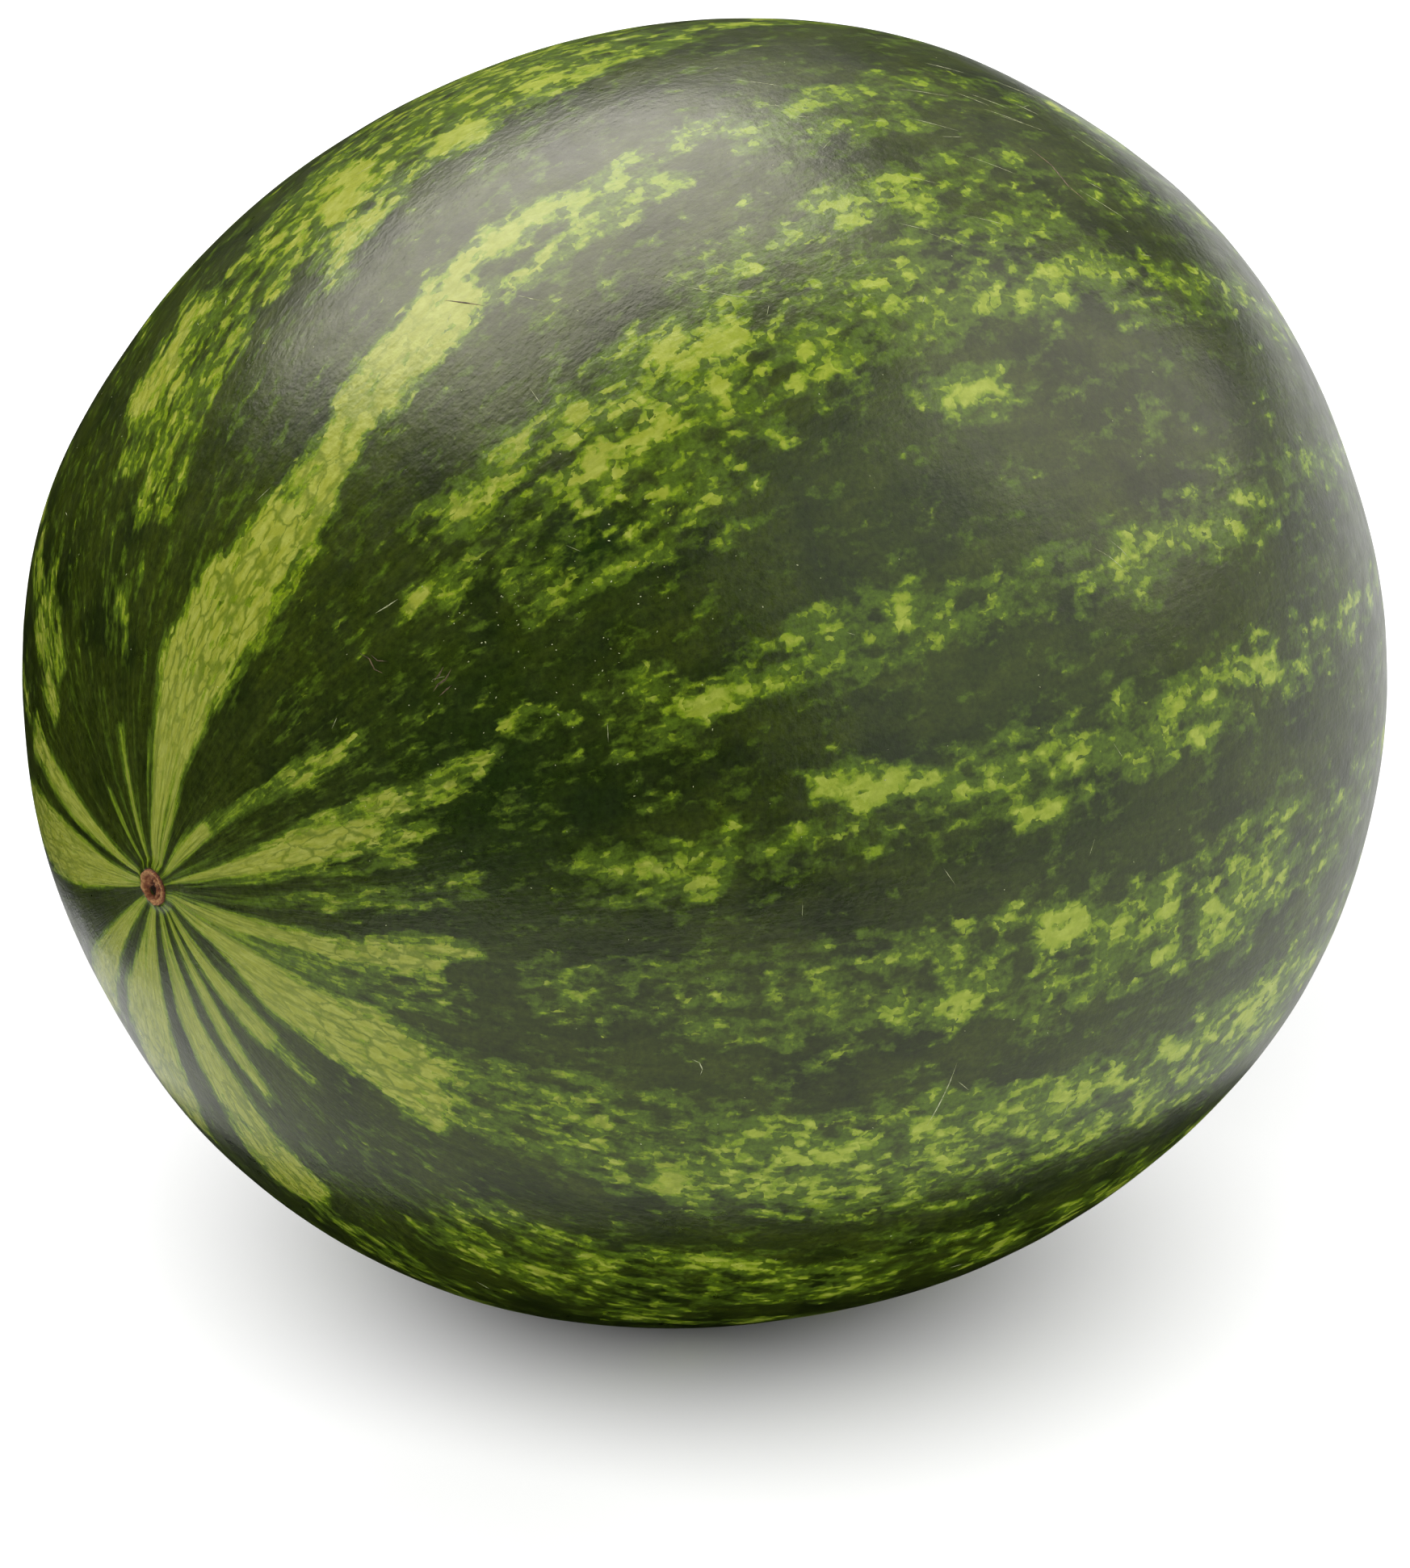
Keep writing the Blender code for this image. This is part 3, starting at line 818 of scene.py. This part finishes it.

# %% Dry cork
# Dead, air-filled cells, quite matt. The colour follows the cap's height: nearly black in the pits,
# the grooves and round the sunken edge, which is painted shade, and sandy on the highest fibres,
# which is painted highlight. The grain on top is the cork's own tone.
dry_cork, tree = new_material("dry_cork")
grain = add(tree, NOISE, {"Vector": in_mm(tree), "Scale": 1 / 0.4, "Detail": 4.0, "Roughness": 0.65})
raised = add(tree, FIELD, {}, take="Fac", attribute_name="raised")
raised = add(tree, RANGE, {0: raised, 1: -0.10, 2: 0.20})
tone = mixed(tree, raised, (grain, 0.5, 1.6))
painted_pit_shade = add(tree, RANGE, {0: tone, 1: 0.10, 2: 0.65})
painted_fibre_highlight = add(tree, RANGE, {0: tone, 1: 0.7, 2: 1.3})
# Black low down and brown higher up is painted shade in the pits and grooves. Sandy on the highest fibres is
# painted highlight.
cork = add(tree, MIX, {0: painted_pit_shade, 6: "#1c0d06", 7: "#6e3c1d"}, **PAINT)
cork = add(tree, MIX, {0: painted_fibre_highlight, 6: cork, 7: "#ad8450"}, **PAINT)
bump = add(tree, "ShaderNodeBump", {"Height": grain, "Distance": 0.12 * MM})
surface(tree, {"Base Color": cork, "Roughness": 0.7, "IOR": 1.45, "Normal": bump})
for cap in (stem_scar, blossom_scar):
    cap.data.materials.append(dry_cork)

# %% [markdown]
# Marks. A fruit that lay in a field and a crate has healed scratches and a few corky rubs,
# and many tiny pale specks are laid on it as painted glints. They are about a tenth of a
# millimetre high. Drawn by a noise they would all look alike, so they are small closed
# shapes laid on the rind: the ones that stand out listed one by one, and the fine ones by a rule.

# %% A ribbon on the rind
mark_dice = random.Random(23)


def on_rind(from_stem, around, height=0.0):
    """A point of the finished rind, or one at a height above it."""
    point, normal = rind_points(ways(from_stem, around))
    return Vector(point + SET_DOWN + normal * (low_waves(Vector(point)) + height)), Vector(normal)


def ribbon(bm, stations, width, height=0.05 * MM):
    """A thin closed ridge through places named by their two angles, tapered to both ends."""
    steps = 5 * (len(stations) - 1) + 1
    along = np.linspace(0, len(stations) - 1, steps)
    angles = [np.interp(along, range(len(stations)), column) for column in zip(*stations)]
    spots = [on_rind(*angle) for angle in zip(*angles)]
    rows = []
    for step, (point, normal) in enumerate(spots):
        ahead = spots[min(step + 1, steps - 1)][0] - spots[max(step - 1, 0)][0]
        side = normal.cross(ahead).normalized()
        taper = 0.25 + 0.75 * sin(pi * step / (steps - 1))
        half = side * width / 2 * taper * mark_dice.uniform(0.75, 1.25)
        foot, crest = point - normal * height, point + normal * height * taper
        rows.append([bm.verts.new(corner) for corner in (foot - half, crest, foot + half)])
    for one, two in zip(rows, rows[1:]):
        for a, b in ((0, 1), (1, 2), (2, 0)):
            bm.faces.new((one[a], one[b], two[b], two[a]))
    bm.faces.new(rows[0][::-1])
    bm.faces.new(rows[-1])


# %% A speck on the rind
SPECK_CORNERS = 6


def painted_glint(bm, from_stem, around, size):
    """A tiny uneven pale speck, drawn out one way: a painted glint."""
    top, normal = on_rind(from_stem, around, 0.3 * size)
    first = normal.orthogonal().normalized()
    first.rotate(Quaternion(normal, mark_dice.uniform(0, pi)))
    second = normal.cross(first)
    drawn = mark_dice.uniform(1.0, 2.2)
    rim = []
    for corner in range(SPECK_CORNERS):
        turn = 2 * pi * corner / SPECK_CORNERS
        reach = size * mark_dice.uniform(0.7, 1.2)
        outwards = first * drawn * cos(turn) + second * sin(turn)
        rim.append(bm.verts.new(top - normal * 0.5 * size + outwards * reach))
    top, foot = bm.verts.new(top), bm.verts.new(top - normal * size)
    for vert, after in zip(rim, rim[1:] + rim[:1]):
        bm.faces.new((top, vert, after))
        bm.faces.new((foot, after, vert))


# %% Healed scratches and corky rubs, listed
# Each mark is a line of places (from_stem, around), and its width in mm
SCRATCHES = (
    (((62.0, 11.5), (62.6, 13.0), (63.2, 14.2)), 0.25),
    (((73.6, 99.3), (73.2, 101.5), (72.6, 104.0), (72.0, 106.2)), 0.28),
    (((51.6, 96.8), (52.2, 97.2), (52.5, 98.0), (52.4, 98.8)), 0.22),
    (((92.0, 57.2), (93.2, 58.4), (94.6, 60.4)), 0.2),
    (((93.6, 56.8), (94.6, 58.2), (95.2, 59.4)), 0.16),
    (((27.5, 40.5), (28.4, 39.4)), 0.14),
    (((36.2, 30.2), (37.4, 30.6), (38.4, 30.8)), 0.25),
    (((71.0, 18.5), (72.5, 21.5), (75.0, 24.5), (77.0, 26.0)), 0.2),
)
RUBS = (
    (((58.0, 5.8), (58.8, 7.8), (59.6, 9.8)), 0.4),
    (((33.2, 33.4), (33.6, 35.0), (33.5, 36.8), (34.0, 38.2)), 0.3),
    (((33.9, 34.6), (34.1, 36.0), (34.8, 37.0)), 0.25),
    (((37.0, 44.4), (37.6, 43.9), (38.4, 43.8), (39.2, 43.0)), 0.45),
    (((37.4, 43.2), (38.0, 42.9), (38.7, 42.2)), 0.4),
    (((37.2, 45.4), (38.0, 45.1), (38.6, 44.9)), 0.35),
    (((110.6, 18.5), (111.2, 21.0), (110.9, 24.0), (111.6, 26.5)), 0.4),
)
scratch_and_glint_bm, rub_bm = bmesh.new(), bmesh.new()
for stations, width in SCRATCHES:
    ribbon(scratch_and_glint_bm, stations, width * MM)
for stations, width in RUBS:
    ribbon(rub_bm, stations, width * MM, 0.08 * MM)

# %% Hairlines, and specks that are painted glints, by a rule
CRATE_SCUFFS, STRAY_SCRATCHES = 26, 70
# Pale specks that stand in for tiny glints on the wax: painted glints
STRAY_PAINTED_GLINTS, GATHERED_PAINTED_GLINTS = 420, 110


def hairline(from_stem, around, heading, long):
    """A short straight scratch, with its heading in degrees from the long axis."""
    turn = radians(heading)
    along = cos(turn) * long / MM_PER_DEGREE
    about = sin(turn) * long / (MM_PER_DEGREE * sin(radians(from_stem)))
    ribbon(scratch_and_glint_bm, ((from_stem, around), (from_stem + along, around + about)), 0.12 * MM, 0.03 * MM)


near, between = mark_dice.gauss, mark_dice.uniform
for _ in range(CRATE_SCUFFS):
    hairline(near(108, 9), near(17, 9), near(35, 14), between(2, 7))
for _ in range(STRAY_SCRATCHES):
    hairline(between(35, 145), between(-155, 155), between(-90, 90), between(0.8, 3))
for _ in range(STRAY_PAINTED_GLINTS):
    from_stem = degrees(acos(between(-0.95, 0.95)))
    painted_glint(scratch_and_glint_bm, from_stem, between(-160, 160), between(0.05, 0.12) * MM)
for _ in range(GATHERED_PAINTED_GLINTS):
    painted_glint(scratch_and_glint_bm, near(48, 7), near(46, 8), between(0.05, 0.13) * MM)
healed_scratches_and_glints = new_piece("healed_scratches_and_glints", scratch_and_glint_bm)
corky_rubs = new_piece("corky_rubs", rub_bm)
print("marks:", len(healed_scratches_and_glints.data.polygons) + len(corky_rubs.data.polygons), "faces")

# %% Healed skin, painted glints and weathered cork
# Healed skin dries to a pale, matt grey-green, and the tiny specks take the same colour as painted glints.
# Cork out in the weather goes a dull brown.
for piece, name, low, high in (
    (healed_scratches_and_glints, "healed_skin_and_glints", "#6c7446", "#b4b890"),
    (corky_rubs, "weathered_cork", "#33291a", "#6c5c40"),
):
    material, tree = new_material(name)
    flecking = add(tree, NOISE, {"Vector": in_mm(tree), "Scale": 1 / 0.6, "Detail": 3.0})
    flecking = add(tree, RANGE, {0: flecking, 1: 0.35, 2: 0.65})
    tint = add(tree, MIX, {0: flecking, 6: low, 7: high}, **PAINT)
    surface(tree, {"Base Color": tint, "Roughness": 0.6, "IOR": 1.45})
    piece.data.materials.append(material)

# %% [markdown]
# Studio. The fruit lies on a white sweep under one broad soft box, above and a little
# behind it, with weaker light from the right, the front and the left. The fruit and the
# sweep are lit apart, so that the sweep stays evenly white while the greens stay deep. As a
# studio does with cards and black cloth, some lights give the rind only a sheen or only
# brightness, and black felt and a grey card round it are seen in its gloss alone. A disc of
# black felt right under the fruit is a painted shadow in its gloss. The key is a touch warm
# and the front light cool. Big lights far away shine as soft boxes close by do, and the
# light doesn't fall off into grey on the floor.

# %% The white sweep
# Matt paper, so that it shows the shadow and no shine
FLOOR_SIZE = 24.0
bpy.ops.mesh.primitive_plane_add(size=FLOOR_SIZE, location=(0, 0, 0))
floor = bpy.context.object
floor.name = "white_sweep"
floor.data.materials.append(plain("white_paper", "#e6e6e6", 0.9, 1.3))
print("sweep:", FLOOR_SIZE, "m wide")

# %% A soft box
LIGHT_DISTANCE = 5.0
FRUIT_CENTRE = Vector(SET_DOWN)
lit_fruit, lit_floor = (bpy.data.collections.new(name) for name in ("lit_fruit", "lit_floor"))
for piece in (rind, stem_scar, blossom_scar, healed_scratches_and_glints, corky_rubs):
    lit_fruit.objects.link(piece)
lit_floor.objects.link(floor)


def bearing(turn, rise):
    """The unit direction of a turn from +Y towards +X and a rise above the floor, in radians."""
    return Vector((sin(turn) * cos(rise), cos(turn) * cos(rise), sin(rise)))


def softbox(name, lights, compass, rise, wide, tall, radiance, tint="#ffffff"):
    """A soft box at the studio distance, wide and tall as seen from the fruit, in degrees."""
    light = bpy.data.lights.new(name, "AREA")
    light.shape = "RECTANGLE"
    light.size = 2 * LIGHT_DISTANCE * tan(radians(wide / 2))
    light.size_y = 2 * LIGHT_DISTANCE * tan(radians(tall / 2))
    light.energy = radiance * pi * light.size * light.size_y
    light.color = linear(tint)[:3]
    lamp = placed(name, light)
    way = bearing(radians(compass), radians(rise))
    lamp.location = FRUIT_CENTRE + way * LIGHT_DISTANCE
    lamp.rotation_mode = "QUATERNION"
    lamp.rotation_quaternion = way.to_track_quat("Z", "Y")
    lamp.visible_camera = False
    lamp.visible_diffuse = not name.endswith("_gloss")
    lamp.visible_glossy = not name.endswith("_fill")
    lamp.light_linking.receiver_collection = lights


# %% The soft boxes and the world
# Each is (name, what it lights, compass, rise, width and height in degrees, radiance, tint)
WARM, COOL = "#fff9fa", "#f8ffff"
SOFTBOXES = (
    ("key_softbox", lit_fruit, 9, 57, 61, 52, 5.6, WARM),
    ("key_gloss", lit_fruit, 9, 57, 61, 52, 1.4),
    ("side_reflector", lit_fruit, 112, 33, 46, 52, 2.25, WARM),
    ("front_reflector", lit_fruit, 164, 25, 54, 86, 1.1, COOL),
    ("left_fill", lit_fruit, -110, 30, 80, 60, 0.95),
    ("floor_front_softbox", lit_floor, -120, 50, 110, 45, 4.4),
    ("floor_back_softbox", lit_floor, 60, 35, 110, 40, 4.5),
)
for row in SOFTBOXES:
    softbox(*row)

# A room with dark walls gives hardly any light back
WORLD_GREY = "#191919"
world = bpy.data.worlds.new("studio")
world.use_nodes = True
world.node_tree.nodes["Background"].inputs["Color"].default_value = linear(WORLD_GREY)
bpy.context.scene.world = world
bpy.context.scene.view_settings.view_transform = "Standard"
print("studio:", len(SOFTBOXES), "lights")

# %% Black felt and a grey card, seen only in the gloss
FLAG_SIZE, FLAG_HEIGHT = 6.0, 0.2 * MM
SHADOW_DISC_RADIUS, SHADOW_DISC_HEIGHT = 0.085, 0.3 * MM
CARD_HEIGHT = 0.1 * MM
# Felt swallows the light, and grey paper gives half of it back
felt = plain("black_felt", "#101010", 1.0, 1.2)
grey_paper = plain("grey_paper", "#c3c3c3", 0.9, 1.3)


def gloss_only(name, material):
    """Makes the newest object a card that only the gloss of the fruit shows."""
    card = bpy.context.object
    card.name = name
    card.data.materials.append(material)
    card.visible_camera = card.visible_diffuse = card.visible_shadow = False
    return card


def black_flag(name, compass, near_edge):
    """Black felt on the floor, from a distance outwards."""
    turn = radians(compass)
    middle_of_flag = bearing(turn, 0) * (near_edge + FLAG_SIZE / 2) + Vector((0, 0, FLAG_HEIGHT))
    bpy.ops.mesh.primitive_plane_add(size=FLAG_SIZE, location=middle_of_flag, rotation=(0, 0, -turn))
    gloss_only(name, felt)


black_flag("flag_behind", -30, 0.13)
black_flag("flag_in_front", -140, 0.42)
# A black disc right under the fruit, seen only in its gloss: a painted reflection of the shadow under the
# belly
bpy.ops.mesh.primitive_circle_add(vertices=64, radius=SHADOW_DISC_RADIUS, fill_type="TRIFAN",
                                  location=(0, 0, SHADOW_DISC_HEIGHT))
gloss_only("painted_shadow_disc", felt)
bpy.ops.mesh.primitive_plane_add(size=FLOOR_SIZE, location=(0, 0, CARD_HEIGHT))
lit_floor.objects.link(gloss_only("grey_card", grey_paper))

# %% [markdown]
# Camera. It looks down on the fruit from the stem side, far away with a long lens, as for
# a shop photograph. The angles and the distance were matched to the outline of the fruit.
# A short lens close by would swell the near end.

# %% Camera
CAMERA_DISTANCE = 1.3
CAMERA_TURN, CAMERA_RISE = radians(-39.262), radians(27.597)
LENS, SENSOR_WIDTH = 240.0, 36.0
BELOW_CENTRE, LEFT_OF_CENTRE = 13.35 * MM, 0.47 * MM
back = bearing(pi - CAMERA_TURN, CAMERA_RISE)
right = Vector((0, 0, 1)).cross(back).normalized()
up = back.cross(right)
camera_data = bpy.data.cameras.new("camera")
camera_data.lens = LENS
camera_data.sensor_width = SENSOR_WIDTH
camera_data.clip_start, camera_data.clip_end = 0.1, 60.0
camera = placed("camera", camera_data)
camera.location = FRUIT_CENTRE + back * CAMERA_DISTANCE
aim = FRUIT_CENTRE - up * BELOW_CENTRE - right * LEFT_OF_CENTRE
camera.rotation_mode = "QUATERNION"
camera.rotation_quaternion = (camera.location - aim).to_track_quat("Z", "Y")
bpy.context.scene.camera = camera
print("camera:", CAMERA_DISTANCE, "m away,", LENS, "mm lens")
